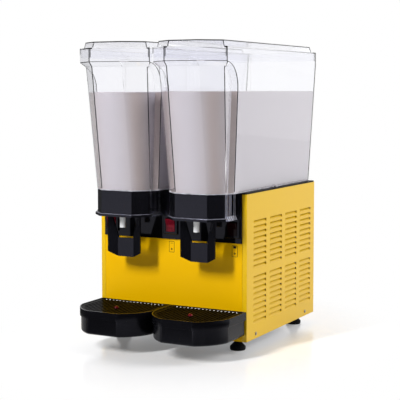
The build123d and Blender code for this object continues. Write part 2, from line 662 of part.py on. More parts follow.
for name, x in bowl_places:
    collar = extrude(mirrored_face(collar_outline(0.0), x, COLLAR_Z), amount=COLLAR_H)
    inner = collar_outline(-COLLAR_WALL)
    inner[-1] = (inner[-1][0], collar_back + COLLAR_WALL)
    collar -= extrude(mirrored_face(inner, x, COLLAR_Z), amount=COLLAR_H)
    lip_half = [(collar_face + COLLAR_LIP * CORNER_SLIDE, collar_front - COLLAR_LIP)]
    lip_reach = collar_half - lip_half[0][0] + COLLAR_LIP
    lip_half.append((lip_half[0][0] + lip_reach, lip_half[0][1] + lip_reach))
    lip_half.append((collar_half - COLLAR_WALL, lip_half[0][1] + lip_reach + COLLAR_LIP * 2))
    lip = extrude(mirrored_face(lip_half, x, COLLAR_Z), amount=COLLAR_LIP_H)
    lip = fillet(lip.faces().sort_by(Axis.Z)[-1].edges(), COLLAR_LIP_H * 0.35)
    lip -= extrude(mirrored_face(inner, x, COLLAR_Z), amount=COLLAR_LIP_H)
    collar += lip
    for sx in (-1, 1):
        ear = block(sorted((x + sx * ear_x, x + sx * (ear_x + EAR_T))),
                    (collar_front + COLLAR_WALL, PIVOT_Y + EYE_R), (PIVOT_Z - EYE_R, PIVOT_Z + EYE_R))
        half_wall = mirrored_face(collar_outline(-COLLAR_WALL / 2), x, COLLAR_Z)
        collar += ear & extrude(half_wall, amount=COLLAR_H)
    collar -= along_x((x - ear_x - EAR_T, x + ear_x + EAR_T), PIVOT_Y, PIVOT_Z, PIVOT_R)
    save(f"tap_collar_{name}", collar)
    save(f"lever_pin_{name}", along_x((x - ear_x - EAR_T, x + ear_x + EAR_T), PIVOT_Y, PIVOT_Z, PIVOT_R))

# Tap barrels: a tube down from the bowl's outlet, slotted on both sides for the piston's stubs
stub_z = PIVOT_Z + FINGER_GAP + STUB_R
barrel_z = DECK - BARREL_H
for name, x in bowl_places:
    barrel = upright(x, TAP_Y, (barrel_z, DECK), BARREL_R)
    barrel += upright(x, TAP_Y, (DECK - BARREL_FLANGE_T, DECK), BARREL_FLANGE_R)
    barrel -= upright(x, TAP_Y, (barrel_z, DECK), BARREL_BORE_R)
    barrel -= block((x - BARREL_FLANGE_R, x + BARREL_FLANGE_R),
                    (TAP_Y - STUB_R - PISTON_GAP, TAP_Y + STUB_R + PISTON_GAP),
                    (stub_z - STUB_R - FINGER_GAP, stub_z + STUB_R + PISTON_LIFT + FINGER_GAP))
    save(f"tap_barrel_{name}", barrel)

# Spouts: a white nozzle whose head plugs the barrel's lower end
plug_top = barrel_z + SPOUT_PLUG_H
for name, x in bowl_places:
    spout = upright(x, TAP_Y, (COLLAR_Z - SPOUT_DROP, plug_top), SPOUT_R)
    spout += upright(x, TAP_Y, (barrel_z, plug_top), BARREL_BORE_R)
    spout -= upright(x, TAP_Y, (COLLAR_Z - SPOUT_DROP, plug_top), SPOUT_BORE_R)
    save(f"spout_{name}", spout)

# Tap pistons: hollow, with a tip in the spout's bore, side ports and two stubs for the lever
piston_z = plug_top + PISTON_GAP
for name, x in bowl_places:
    piston = upright(x, TAP_Y, (piston_z, piston_z + PISTON_H), BARREL_BORE_R - PISTON_GAP)
    piston += upright(x, TAP_Y, (piston_z - PISTON_TIP_H, piston_z), SPOUT_BORE_R - PISTON_GAP)
    piston += along_x((x - STUB_REACH, x + STUB_REACH), TAP_Y, stub_z, STUB_R)
    bore_z = piston_z + BARREL_BORE_R - PISTON_BORE_R
    piston -= upright(x, TAP_Y, (bore_z, piston_z + PISTON_H), PISTON_BORE_R)
    port_z = bore_z + 1.2 * PORT_R
    piston -= along_y(x, (TAP_Y - BARREL_BORE_R, TAP_Y + BARREL_BORE_R), port_z, PORT_R)
    save(f"tap_piston_{name}", piston)

# Tap springs: between the piston's mouth and the bowl's floor round the outlet
spring_z = piston_z + PISTON_H
spring_h = DECK - spring_z
spring_r = (PISTON_BORE_R + BARREL_BORE_R - PISTON_GAP) / 2
for name, x in bowl_places:
    pitch = (spring_h - SPRING_WIRE) / SPRING_TURNS
    line = Helix(pitch=pitch, height=spring_h - SPRING_WIRE, radius=spring_r)
    section = Plane(origin=line @ 0, z_dir=line % 0) * RegularPolygon(SPRING_WIRE / 2, WIRE_SIDES)
    spring = sweep(section, path=line)
    save(f"tap_spring_{name}", Pos(x, TAP_Y, spring_z + SPRING_WIRE / 2) * spring)

# Tap levers: a cupped push plate with a window, two arms to the pin and fingers under the stubs
lever_foot = COLLAR_Z - LEVER_DROP
plate_y = FRONT - LEVER_REACH
eye_half = LEVER_W / 2
arm_in = eye_half - ARM_W
for name, x in bowl_places:
    face = LEVER_FACE_W / 2
    cup_front = [(x - eye_half, plate_y - LEVER_CUP), (x - face, plate_y), (x + face, plate_y),
                 (x + eye_half, plate_y - LEVER_CUP)]
    cup_back = [(px, py + LEVER_T) for px, py in reversed(cup_front)]
    plate_top = PIVOT_Z - EYE_R
    plate = extrude(Pos(0, 0, lever_foot) * make_face(Polyline(*cup_front, *cup_back, close=True)),
                    amount=plate_top - lever_foot)
    y0 = plate_y - LEVER_CUP - LEVER_T
    depth = (0, LEVER_CUP + 3 * LEVER_T, 0)
    corner_z = lever_foot + PAD_CORNER
    pad = [(-eye_half, corner_z), (-face, lever_foot), (face, lever_foot), (eye_half, corner_z),
           (eye_half, plate_top), (-eye_half, plate_top)]
    shape = prism([(x + dx, y0, z) for dx, z in pad], depth)
    window_z = lever_foot + PAD_H
    half_foot = WINDOW_FOOT_W / 2
    half_top = WINDOW_TOP_W / 2
    gap = [(-half_foot, window_z), (half_foot, window_z), (half_top, COLLAR_Z), (half_top, plate_top),
           (-half_top, plate_top), (-half_top, COLLAR_Z)]
    window = prism([(x + dx, y0, z) for dx, z in gap], depth)
    lever = (plate & shape) - window
    for sx in (-1, 1):
        xs = sorted((x + sx * arm_in, x + sx * eye_half))
        arm = prism([(xs[0], PIVOT_Y - EYE_R, PIVOT_Z), (xs[0], PIVOT_Y + EYE_R / 2, PIVOT_Z - 2 * EYE_R),
                     (xs[0], plate_y - LEVER_CUP, COLLAR_Z), (xs[0], plate_y, COLLAR_Z),
                     (xs[0], plate_y - LEVER_CUP / 2, PIVOT_Z), (xs[0], PIVOT_Y, PIVOT_Z + EYE_R)],
                    (ARM_W, 0, 0))
        arm += along_x(xs, PIVOT_Y, PIVOT_Z, EYE_R)
        finger_x = sorted((x + sx * (BARREL_R + FINGER_GAP), x + sx * eye_half))
        arm += block(finger_x, (TAP_Y - FINGER_W / 2, TAP_Y + FINGER_W / 2), (PIVOT_Z - FINGER_T, PIVOT_Z))
        stub_room = block(sorted((x, x + sx * (STUB_REACH + FINGER_GAP))),
                          (TAP_Y - 2 * FINGER_W, TAP_Y + 2 * FINGER_W), (PIVOT_Z, PIVOT_Z + 2 * EYE_R))
        lever += arm - stub_room
    lever -= along_x((x - eye_half, x + eye_half), PIVOT_Y, PIVOT_Z, PIVOT_R + RUN_GAP)
    save(f"tap_lever_{name}", lever)


# Drip trays: straight sides, a flat nose, bowed corners between them, a wider lip band and a rounded foot
def tray_front(dx, inset):
    """Front of a tray's outline at a distance from its middle."""
    corner = math.sqrt((TRAY_CORNER_R - inset) ** 2 - (dx - CORNER_X) ** 2)
    return max(TRAY_FRONT + inset, CORNER_Y - corner)


def tray_face(x, z, inset):
    """Level outline of a tray, drawn in from its lip."""
    half = TRAY_W / 2 - inset
    back = FRONT - inset - TRAY_GAP
    nose = CORNER_X + math.sqrt((TRAY_CORNER_R - inset) ** 2 - (CORNER_Y - TRAY_FRONT - inset) ** 2)
    bow = (nose + half) / 2
    ends = [(nose, TRAY_FRONT + inset), (bow, tray_front(bow, inset)), (half, tray_front(half, inset))]
    right = ThreePointArc(*ends)
    left = ThreePointArc(*[(-px, py) for px, py in ends])
    rest = Polyline(ends[2], (half, back), (-half, back), (-half, ends[2][1]))
    front = Line((-nose, ends[0][1]), ends[0])
    face = make_face([*right.edges(), *rest.edges(), *left.edges(), *front.edges()])
    creases = face.vertices().group_by(Axis.Y)[:2]
    face = fillet(creases[0] + creases[1], TRAY_CREASE_R - inset)
    return Pos(x, 0, z) * face


lip_z = TRAY_TOP - TRAY_LIP_H
tray_floor = TRAY_Z + TRAY_WALL
for name, x in tray_places:
    tub = extrude(tray_face(x, TRAY_Z, TRAY_STEP), amount=TRAY_H)
    tub = fillet(tub.faces().sort_by(Axis.Z)[0].edges(), TRAY_ROUND)
    tray = tub + extrude(tray_face(x, lip_z, 0.0), amount=TRAY_LIP_H)
    hollow = extrude(tray_face(x, tray_floor, TRAY_STEP + TRAY_WALL), amount=TRAY_H)
    tray -= fillet(hollow.faces().sort_by(Axis.Z)[0].edges(), TRAY_ROUND - TRAY_WALL)
    tray -= extrude(tray_face(x, lip_z + TRAY_WALL, TRAY_WALL), amount=TRAY_LIP_H)
    for dx in (-TONGUE_X, TONGUE_X):
        tray += block((x + dx - TONGUE_W / 2, x + dx + TONGUE_W / 2),
                      (FRONT - TRAY_GAP - TRAY_WALL, FRONT + TONGUE_L), (tongue_z, tongue_z + TONGUE_T))
    tray += upright(x, FLOAT_Y, (tray_floor, tray_floor + GUIDE_H), GUIDE_R)
    save(f"drip_tray_{name}", tray)

# Drip grilles: a slotted plate on a skirt that stands on the step inside the tray's lip; each slot
# ends in a steep ramp at its back
grille_inset = TRAY_WALL + GRILLE_GAP
skirt_z = lip_z + TRAY_WALL
float_hole_r = FLOAT_DOME_R + FLOAT_HOLE_GAP
for name, x in tray_places:
    grille = extrude(tray_face(x, skirt_z, grille_inset), amount=GRILLE_TOP - skirt_z)
    grille -= extrude(tray_face(x, skirt_z, grille_inset + GRILLE_SKIRT),
                      amount=GRILLE_TOP - GRILLE_T - skirt_z)
    slot_inset = grille_inset + GRILLE_EDGE
    slot_back = FRONT - TRAY_GAP - slot_inset
    for k in range(SLOTS):
        slot_x = (k - (SLOTS - 1) / 2) * SLOT_PITCH
        reach = abs(slot_x) + SLOT_W / 2
        if reach > TRAY_W / 2 - slot_inset:
            continue
        slot_runs = [(tray_front(reach, slot_inset), slot_back)]
        if reach - SLOT_W < float_hole_r:
            slot_runs = [(tray_front(reach, slot_inset), FLOAT_Y - float_hole_r - FLOAT_RING),
                         (FLOAT_Y + float_hole_r + FLOAT_RING, slot_back)]
        slot_left = x + slot_x - SLOT_W / 2
        for front, back in slot_runs:
            slot = [(slot_left, front, GRILLE_TOP), (slot_left, back, GRILLE_TOP),
                    (slot_left, back - SLOT_RAMP, GRILLE_TOP - GRILLE_T),
                    (slot_left, front, GRILLE_TOP - GRILLE_T)]
            grille -= prism(slot, (SLOT_W, 0, 0))
    grille -= upright(x, FLOAT_Y, (GRILLE_TOP - GRILLE_T, GRILLE_TOP), float_hole_r)
    save(f"drip_grille_{name}", grille)

# Tray floats: a red dome on a stem, sliding on the guide pin in the tray
for name, x in tray_places:
    float_z = tray_floor
    dome_z = GRILLE_TOP - GRILLE_T + GUIDE_GAP
    tray_float = upright(x, FLOAT_Y, (float_z, float_z + FLOAT_H), FLOAT_R)
    tray_float += upright(x, FLOAT_Y, (float_z, dome_z), FLOAT_STEM_R)
    dome = upright(x, FLOAT_Y, (dome_z, dome_z + FLOAT_DOME_H), FLOAT_DOME_R)
    tray_float += fillet(dome.edges().sort_by(Axis.Z)[-1], FLOAT_DOME_R * 0.9)
    tray_float -= upright(x, FLOAT_Y, (float_z, tray_floor + GUIDE_H + GUIDE_GAP), GUIDE_R + GUIDE_GAP)
    save(f"tray_float_{name}", tray_float)

# Compressor: a welded steel can on a plate with four rubber mounts
compressor_y = REAR - COMPRESSOR_REAR_GAP
mount_half = COMPRESSOR_PLATE / 2 - MOUNT_INSET
mount_places = [(COMPRESSOR_X + dx, compressor_y + dy)
                for dx in (-mount_half, mount_half) for dy in (-mount_half, mount_half)]
plate_z = (PAN_FLOOR + MOUNT_H, PAN_FLOOR + MOUNT_H + COMPRESSOR_PLATE_T)
compressor = block((COMPRESSOR_X - COMPRESSOR_PLATE / 2, COMPRESSOR_X + COMPRESSOR_PLATE / 2),
                   (compressor_y - COMPRESSOR_PLATE / 2, compressor_y + COMPRESSOR_PLATE / 2), plate_z)
compressor = fillet(compressor.edges().filter_by(Axis.Z), MOUNT_R)
can_z = (plate_z[1], plate_z[1] + COMPRESSOR_H)
can = upright(COMPRESSOR_X, compressor_y, can_z, COMPRESSOR_R)
compressor += fillet(can.edges().sort_by(Axis.Z)[-1], COMPRESSOR_ROUND)
save("compressor", compressor)
mounts = []
for x, y in mount_places:
    mount = upright(x, y, (PAN_FLOOR, plate_z[0]), MOUNT_R)
    mounts.append(mount - upright(x, y, (PAN_FLOOR, plate_z[0]), STUD_R))
save("compressor_mounts", Compound(children=mounts))

# Condenser: a finned block on end plates along the right side panel
condenser_x = (SIDE - CONDENSER_SIDE_GAP - CONDENSER_T, SIDE - CONDENSER_SIDE_GAP)
condenser_y = (REAR - CONDENSER_REAR_GAP - CONDENSER_L, REAR - CONDENSER_REAR_GAP)
condenser_z = (PAN_FLOOR, PAN_FLOOR + CONDENSER_H)
condenser = block(condenser_x, condenser_y, condenser_z)
fin_pitch = CONDENSER_L / FINS
for k in range(FINS):
    y = condenser_y[0] + (k + 0.5) * fin_pitch
    for xs in ((condenser_x[0], condenser_x[0] + FIN_DEPTH), (condenser_x[1] - FIN_DEPTH, condenser_x[1])):
        condenser -= block(xs, (y - (fin_pitch - FIN_T) / 2, y + (fin_pitch - FIN_T) / 2), condenser_z)
save("condenser", condenser)

# Fan shroud: a plate with a ring on the condenser's inner face
fan_y = sum(condenser_y) / 2
fan_z = sum(condenser_z) / 2
shroud_x = (condenser_x[0] - SHROUD_T, condenser_x[0])
ring_r = FAN_R + FAN_TIP_GAP
shroud = block(shroud_x, condenser_y, condenser_z)
shroud += along_x((shroud_x[0] - SHROUD_RING, shroud_x[1]), fan_y, fan_z, ring_r + SHROUD_T)
shroud -= along_x((shroud_x[0] - SHROUD_RING, shroud_x[1]), fan_y, fan_z, ring_r)
save("fan_shroud", shroud)

# Condenser fan: pitched blades round a hub, with its shaft into the motor
hub_x = (shroud_x[0] - FAN_HUB_L, shroud_x[0])
fan = along_x(hub_x, fan_y, fan_z, FAN_HUB_R)
for k in range(FAN_BLADES):
    blade = block((-BLADE_T / 2, BLADE_T / 2), (-BLADE_W / 2, BLADE_W / 2), (FAN_HUB_R * 0.6, FAN_R))
    blade = Rot(0, 0, BLADE_PITCH) * blade
    turn = Pos(sum(hub_x) / 2, fan_y, fan_z) * Rot(360 / FAN_BLADES * k, 0, 0)
    fan += turn * blade
fan &= along_x((hub_x[0] - BLADE_W, hub_x[1] + BLADE_W), fan_y, fan_z, FAN_R)
motor_front = hub_x[0] - FAN_SHAFT_GAP
fan += along_x((motor_front - FAN_MOTOR_L / 2, hub_x[0]), fan_y, fan_z, FAN_SHAFT_R)
save("condenser_fan", fan)

# Fan motor on an upright bracket from the base pan
fan_motor = along_x((motor_front - FAN_MOTOR_L, motor_front), fan_y, fan_z, FAN_MOTOR_R)
fan_motor = fillet(fan_motor.edges().sort_by(Axis.X)[0], FAN_MOTOR_R * 0.2)
bracket_back = motor_front - FAN_MOTOR_L + FAN_MOTOR_R * 0.3
bracket_x = (bracket_back, bracket_back + BRACKET_T)
bracket_y = (fan_y - BRACKET_W / 2, fan_y + BRACKET_W / 2)
fan_motor += block(bracket_x, bracket_y, (PAN_FLOOR, fan_z))
fan_motor += block((bracket_x[0] - BRACKET_W / 2, bracket_x[1]), bracket_y,
                   (PAN_FLOOR, PAN_FLOOR + BRACKET_T))
shaft_end = motor_front - FAN_MOTOR_L / 2 - SEAT_GAP
fan_motor -= along_x((shaft_end, motor_front), fan_y, fan_z, FAN_SHAFT_R + RUN_GAP)
save("fan_motor", fan_motor)

# Filter drier, lying on the pan's floor in front of the compressor on two saddles
drier_y = compressor_y - COMPRESSOR_PLATE / 2 - 3 * DRIER_R
drier_z = PAN_FLOOR + 2 * DRIER_R
drier_x = (COMPRESSOR_X - DRIER_L / 2, COMPRESSOR_X + DRIER_L / 2)
drier = along_x(drier_x, drier_y, drier_z, DRIER_R)
drier = chamfer(drier.edges(), DRIER_R * 0.6)
drier += along_x((drier_x[0], drier_x[1] + 2 * DRIER_R), drier_y, drier_z, DRIER_NECK_R)
for x in (drier_x[0] + 2 * DRIER_R, drier_x[1] - 2 * DRIER_R):
    drier += block((x - DRIER_NECK_R, x + DRIER_NECK_R), (drier_y - DRIER_R, drier_y + DRIER_R),
                   (PAN_FLOOR, drier_z))
save("filter_drier", drier)


# Refrigerant lines: bent copper tube from piece to piece
def bent_pipe(points):
    path = FilletPolyline(*points, radius=BEND_R)
    section = Plane(origin=path @ 0, z_dir=path % 0) * Circle(PIPE_R)
    return sweep(section, path=path)


can_mid = sum(can_z) / 2
core_x = sum(condenser_x) / 2
bend = 2 * BEND_R
hot_x = COMPRESSOR_X + COMPRESSOR_PLATE / 2 + bend
hot_y = condenser_y[1] + bend
hot_line = [(COMPRESSOR_X + COMPRESSOR_R, compressor_y, can_mid), (hot_x, compressor_y, can_mid),
            (hot_x, hot_y, can_mid), (core_x, hot_y, can_mid), (core_x, condenser_y[1], can_mid)]
cold_x = drier_x[1] + 2 * DRIER_R
cold_y = condenser_y[0] - bend
liquid_line = [(cold_x, drier_y, drier_z), (cold_x + bend, drier_y, drier_z),
               (cold_x + bend, cold_y, drier_z), (core_x, cold_y, drier_z),
               (core_x, condenser_y[0], drier_z)]
lines = [bent_pipe(hot_line), bent_pipe(liquid_line)]
for (name, x), level in zip(suction_x, (5, 3)):
    run_z = can_z[1] + level * BEND_R
    port_x = COMPRESSOR_X + math.copysign(4 * PIPE_R, x)
    lines.append(bent_pipe([(x, EVAPORATOR_Y, DECK), (x, EVAPORATOR_Y, run_z),
                            (port_x, EVAPORATOR_Y, run_z), (port_x, compressor_y, run_z),
                            (port_x, compressor_y, can_z[1])]))
save("refrigerant_lines", Compound(children=lines))

# Thermostat on the inside of the rear panel
thermostat = block((-THERMOSTAT_W / 2, THERMOSTAT_W / 2), (REAR - SHEET - THERMOSTAT_D, REAR - SHEET),
                   (TOP - 3 * THERMOSTAT_H, TOP - 2 * THERMOSTAT_H))
thermostat = fillet(thermostat.edges().filter_by(Axis.Y), THERMOSTAT_D * 0.1)
save("thermostat", thermostat)
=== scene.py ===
import math

import bmesh
import bpy
from mathutils import Matrix, Vector


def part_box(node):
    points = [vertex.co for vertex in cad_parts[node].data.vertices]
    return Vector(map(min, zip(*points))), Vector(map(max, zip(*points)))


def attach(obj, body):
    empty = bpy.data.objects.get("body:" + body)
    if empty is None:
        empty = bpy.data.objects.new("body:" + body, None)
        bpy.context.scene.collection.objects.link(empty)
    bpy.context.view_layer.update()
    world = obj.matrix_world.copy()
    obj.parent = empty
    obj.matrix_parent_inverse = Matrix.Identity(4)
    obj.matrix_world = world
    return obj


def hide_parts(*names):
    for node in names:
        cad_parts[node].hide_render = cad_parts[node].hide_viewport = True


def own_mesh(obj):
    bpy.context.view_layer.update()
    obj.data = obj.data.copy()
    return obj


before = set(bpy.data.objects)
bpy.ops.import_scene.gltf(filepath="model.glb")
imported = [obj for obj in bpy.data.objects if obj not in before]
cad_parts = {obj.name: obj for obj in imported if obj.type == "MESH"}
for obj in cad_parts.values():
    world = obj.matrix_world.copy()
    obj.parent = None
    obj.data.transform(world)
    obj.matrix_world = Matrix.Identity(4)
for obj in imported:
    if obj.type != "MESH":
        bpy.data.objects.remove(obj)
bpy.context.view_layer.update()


# Base pan and fan shroud. Both are folded from zinc-coated sheet steel, left bare inside the
# housing, with the cloudy spangle that the zinc bath leaves.
class Shade:
    """A shader socket that takes plain arithmetic; node() adds any other node to its tree."""

    def __init__(self, tree, socket=None):
        self.tree = tree
        self.socket = socket

    def node(self, kind, settings=None, sockets=None, out=0):
        made = self.tree.nodes.new("ShaderNode" + kind)
        for key, value in (settings or {}).items():
            setattr(made, key, value)
        for key, value in (sockets or {}).items():
            if isinstance(value, Shade):
                self.tree.links.new(value.socket, made.inputs[key])
            else:
                made.inputs[key].default_value = value
        return Shade(self.tree, made.outputs[out] if made.outputs else None)

    def maths(self, operation, *values):
        return self.node("Math", {"operation": operation}, dict(enumerate(values)))

    def axis(self, name):
        return self.node("SeparateXYZ", None, {0: self}, out=name)

    def __add__(self, other):
        return self.maths("ADD", self, other)

    def __mul__(self, other):
        return self.maths("MULTIPLY", self, other)

    def __sub__(self, other):
        return self.maths("SUBTRACT", self, other)

    def __rsub__(self, other):
        return self.maths("SUBTRACT", other, self)

    def __truediv__(self, other):
        return self.maths("DIVIDE", self, other)

    def __rtruediv__(self, other):
        return self.maths("DIVIDE", other, self)

    def __pow__(self, other):
        return self.maths("POWER", self, other)

    def __rpow__(self, other):
        return self.maths("POWER", other, self)

    def __abs__(self):
        return self.maths("ABSOLUTE", self)

    def __lt__(self, other):
        return self.maths("LESS_THAN", self, other)

    def __gt__(self, other):
        return self.maths("GREATER_THAN", self, other)

    __radd__ = __add__
    __rmul__ = __mul__


def new_finish(name):
    """An empty material of that name, and what its nodes are made with."""
    material = bpy.data.materials.new(name)
    material.use_nodes = True
    material.node_tree.nodes.clear()
    return material, Shade(material.node_tree)


def cloud(shade, scale, detail=3.0, stretch=None):
    """Noise on the object's own coordinates, scale in cells a metre."""
    place = shade.node("TexCoord", out="Object")
    if stretch:
        place = shade.node("Mapping", None, {"Vector": place, "Scale": stretch})
    return shade.node("TexNoise", None, {"Vector": place, "Scale": scale, "Detail": detail})


def blend_colour(shade, share, low, high):
    """A colour between two, each a triple or another node's colour; 6, 7 and 2 are Mix's colour sockets."""
    low, high = (end if isinstance(end, Shade) else (*end, 1.0) for end in (low, high))
    return shade.node("Mix", {"data_type": "RGBA"}, {0: share, 6: low, 7: high}, out=2)


def raised_skin(shade, height, strength, depth=0.0004):
    """A normal that follows small heights in the surface, depth in metres."""
    return shade.node("Bump", None, {"Strength": strength, "Distance": depth, "Height": height})


def skin_finish(name, low, high, rough, rough_change, grain, bump, patch=9.0, metallic=0.0, specular=0.5,
                tint=(1.0, 1.0, 1.0), over=None):
    """Paint, plastic or bare metal: colour and gloss wander in patches over a fine grained skin.
    Where over is given, it works on the colour last."""
    material, shade = new_finish(name)
    patches = cloud(shade, patch)
    colour = blend_colour(shade, patches, low, high)
    if over:
        colour = over(shade, colour, patches)
    surface = shade.node("BsdfPrincipled", None, {
        "Base Color": colour,
        "Roughness": patches * rough_change + (rough - rough_change / 2),
        "Metallic": metallic,
        "Specular IOR Level": specular,
        "Specular Tint": (*tint, 1.0),
        "Normal": raised_skin(shade, cloud(shade, grain, detail=2.0), bump)})
    shade.node("OutputMaterial", None, {"Surface": surface})
    return material


def dress(material, *names):
    for name in names:
        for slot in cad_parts[name].material_slots:
            slot.material = material


zinc = skin_finish("bare_zinc", (0.34, 0.35, 0.36), (0.52, 0.53, 0.55), rough=0.42, rough_change=0.16,
                   grain=160.0, bump=0.12, patch=55.0, metallic=1.0)
dress(zinc, "base_pan", "fan_shroud")

# Feet, compressor mounts and bowl gaskets. Moulded black rubber with a dull, slightly dusty skin; the
# feet stand on the counter and their studs go up through the pan.
rubber = skin_finish("black_rubber", (0.002, 0.002, 0.003), (0.006, 0.006, 0.007), rough=0.6,
                     rough_change=0.2, grain=900.0, bump=0.2, specular=0.08)
dress(rubber, "rubber_feet", "compressor_mounts", "bowl_gasket_left", "bowl_gasket_right")

# Cooling set inside the housing. A black-lacquered compressor, an aluminium condenser, cast motors and
# magnets for the fan and the stirrers, copper lines brazed between them, and a grey thermostat.
lacquer = skin_finish("compressor_lacquer", (0.010, 0.010, 0.011), (0.022, 0.022, 0.024), rough=0.28,
                      rough_change=0.16, grain=500.0, bump=0.2)
dress(lacquer, "compressor")
fins = skin_finish("mill_aluminium", (0.62, 0.63, 0.64), (0.78, 0.79, 0.80), rough=0.38, rough_change=0.18,
                   grain=700.0, bump=0.15, patch=30.0, metallic=1.0)
dress(fins, "condenser")
casing = skin_finish("cast_casing", (0.30, 0.31, 0.32), (0.42, 0.43, 0.44), rough=0.5, rough_change=0.18,
                     grain=420.0, bump=0.35, patch=20.0, metallic=1.0)
dress(casing, "stir_motor_left", "stir_motor_right", "fan_motor", "drive_magnet_left", "drive_magnet_right")
copper = skin_finish("drawn_copper", (0.55, 0.20, 0.10), (0.86, 0.40, 0.24), rough=0.3, rough_change=0.22,
                     grain=260.0, bump=0.1, patch=40.0, metallic=1.0)
dress(copper, "refrigerant_lines", "filter_drier")
control_grey = skin_finish("thermostat_grey", (0.16, 0.16, 0.17), (0.21, 0.21, 0.22), rough=0.45,
                           rough_change=0.12, grain=800.0, bump=0.2)
dress(control_grey, "thermostat")


# Housing panels. Sheet steel in yellow powder coat, with the fine orange peel of a baked coat. The side
# panels are folded and louvred and screwed to the pan's turned-up edge. Their copy of the coat has more
# specular and a slightly less red yellow, a painted sheen for the bright surroundings they mirror.
def powder_coat(name, low, high, specular):
    return skin_finish(name, low, high, rough=0.34, rough_change=0.06, grain=620.0, bump=0.10, patch=7.0,
                       specular=specular)


enamel = powder_coat("yellow_enamel", (0.79, 0.435, 0.0), (0.83, 0.47, 0.0), specular=0.08)
# The sides' copy of the coat, glossier and a little less red: painted sheen.
side_sheen_enamel = powder_coat("side_sheen_enamel", (0.73, 0.445, 0.0), (0.77, 0.48, 0.0), specular=0.36)
dress(enamel, "front_panel", "rear_panel")
SHEET_BEND = 0.0008
LONG_EDGE = 0.1
MERGE = 2e-6
FLAT_JOIN = math.radians(0.5)
SHARP = math.radians(30.0)


def made_piece(name, bm, material):
    """The finished mesh as an object of that name, in one material."""
    mesh = bpy.data.meshes.new(name)
    bm.to_mesh(mesh)
    bm.free()
    mesh.materials.append(material)
    piece = bpy.data.objects.new(name, mesh)
    bpy.context.scene.collection.objects.link(piece)
    return piece


def rolled(node, body, material, widths, segments=3):
    """A CAD piece again with its sharp edges rolled over; widths gives each its roll, or none."""
    bm = bmesh.new()
    bm.from_mesh(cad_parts[node].data)
    bmesh.ops.remove_doubles(bm, verts=bm.verts, dist=MERGE)
    bmesh.ops.dissolve_limit(bm, angle_limit=FLAT_JOIN, verts=bm.verts, edges=bm.edges)
    rolls = {}
    for edge in bm.edges:
        if len(edge.link_faces) == 2 and edge.calc_face_angle() > SHARP:
            rolls.setdefault(widths(edge), []).append(edge)
    rolls.pop(None, None)
    for width, edges in rolls.items():
        made = bmesh.ops.bevel(bm, geom=edges, offset=width, offset_type="OFFSET", segments=segments,
                               profile=0.5, affect="EDGES", material=-1, clamp_overlap=True)
        for face in made["faces"]:
            face.smooth = True
    for edge in bm.edges:
        edge.smooth = len(edge.link_faces) == 2 and edge.calc_face_angle() < SHARP
    piece = made_piece(node + "_rolled", bm, material)
    if "custom_normal" in piece.data.attributes:
        piece.data.attributes.remove(piece.data.attributes["custom_normal"])
    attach(piece, body)
    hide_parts(node)
    return piece


for side in ("left", "right"):
    rolled("side_panel_" + side, "housing", side_sheen_enamel,
           lambda edge: SHEET_BEND if edge.calc_length() > LONG_EDGE else None)

# Panel screws. Low domed heads of plated steel, dull and a little brown; their shanks go through the side
# panels into the pan's turned-up edge.
screw_steel = skin_finish("screw_steel", (0.20, 0.17, 0.13), (0.42, 0.38, 0.33), rough=0.4,
                          rough_change=0.2, grain=900.0, bump=0.2, patch=160.0, metallic=1.0)
dress(screw_steel, "panel_screws")

# Top deck. A matt black plate over the whole housing, with a hole under each evaporator; the bowls stand
# on it and dull it.
matt_black = skin_finish("matt_black", (0.003, 0.0028, 0.003), (0.007, 0.0065, 0.0065), rough=0.5,
                         rough_change=0.14, grain=1300.0, bump=0.12, specular=0.05)
dress(matt_black, "top_deck")

# Control panel and switch frames. Black plastic moulded in a polished tool, so it mirrors the levers
# before it; only faint wiping marks change its gloss. The frames sit in cut-outs of the panel.
COOL_SHEEN = (0.82, 0.82, 1.0)
FRAME_ROLL = 0.0006
gloss_black = skin_finish("polished_black", (0.0015, 0.0015, 0.002), (0.003, 0.003, 0.004), rough=0.07,
                          rough_change=0.05, grain=240.0, bump=0.02, patch=24.0, specular=0.22,
                          tint=COOL_SHEEN)
dress(gloss_black, "control_panel")
for place in ("left", "middle", "right"):
    rolled("switch_frame_" + place, "housing", gloss_black, lambda edge: FRAME_ROLL)

# Rockers and tray floats. Glossy red plastic in lighter and deeper patches, a painted glow as if a lamp
# lit them from within; the right rocker has a much darker copy of the red, painted shade. The rockers tip
# on stubs in their frames, the floats slide on pins in the trays.
red = skin_finish("red_plastic", (0.02, 0.0003, 0.002), (0.19, 0.003, 0.014), rough=0.12, rough_change=0.06,
                  grain=700.0, bump=0.05, patch=110.0, specular=0.14)
dress(red, "rocker_left", "rocker_middle", "tray_float_left", "tray_float_right")
# A much darker copy of the red: painted shade on the right rocker.
shaded_red = skin_finish("shaded_red_plastic", (0.003, 0.0003, 0.0006), (0.007, 0.0006, 0.0012), rough=0.12,
                       rough_change=0.06, grain=700.0, bump=0.05, patch=60.0, specular=0.1)
dress(shaded_red, "rocker_right")

# Signs under the switches. Printed on the front panel in black ink, a thin film: a frame under each
# rocker, with a bar and a small star in it, four-pointed at the outer two and three-pointed between.
INK_T = 0.00012
SIGN_X = 0.156
SIGN_Z = 0.2235
SIGN_W = 0.0136
SIGN_H = 0.025
SIGN_LINE = 0.0009
SIGN_CORNER = 0.0012
OUTER_BAR = {"width": 0.007, "low": 0.006, "high": 0.011}
OUTER_STAR = {"points": 4, "reach": 0.0034, "waist": 0.42}
MIDDLE_BAR = {"width": 0.006, "low": 0.0076, "high": 0.0084}
MIDDLE_STAR = {"points": 3, "reach": 0.0032, "waist": 0.5}
STAR_DOWN = 0.0053
PANEL_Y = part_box("front_panel")[0][1]
ink = skin_finish("printed_ink", (0.006, 0.005, 0.004), (0.012, 0.010, 0.008), rough=0.5, rough_change=0.1,
                  grain=1500.0, bump=0.1, specular=0.1)


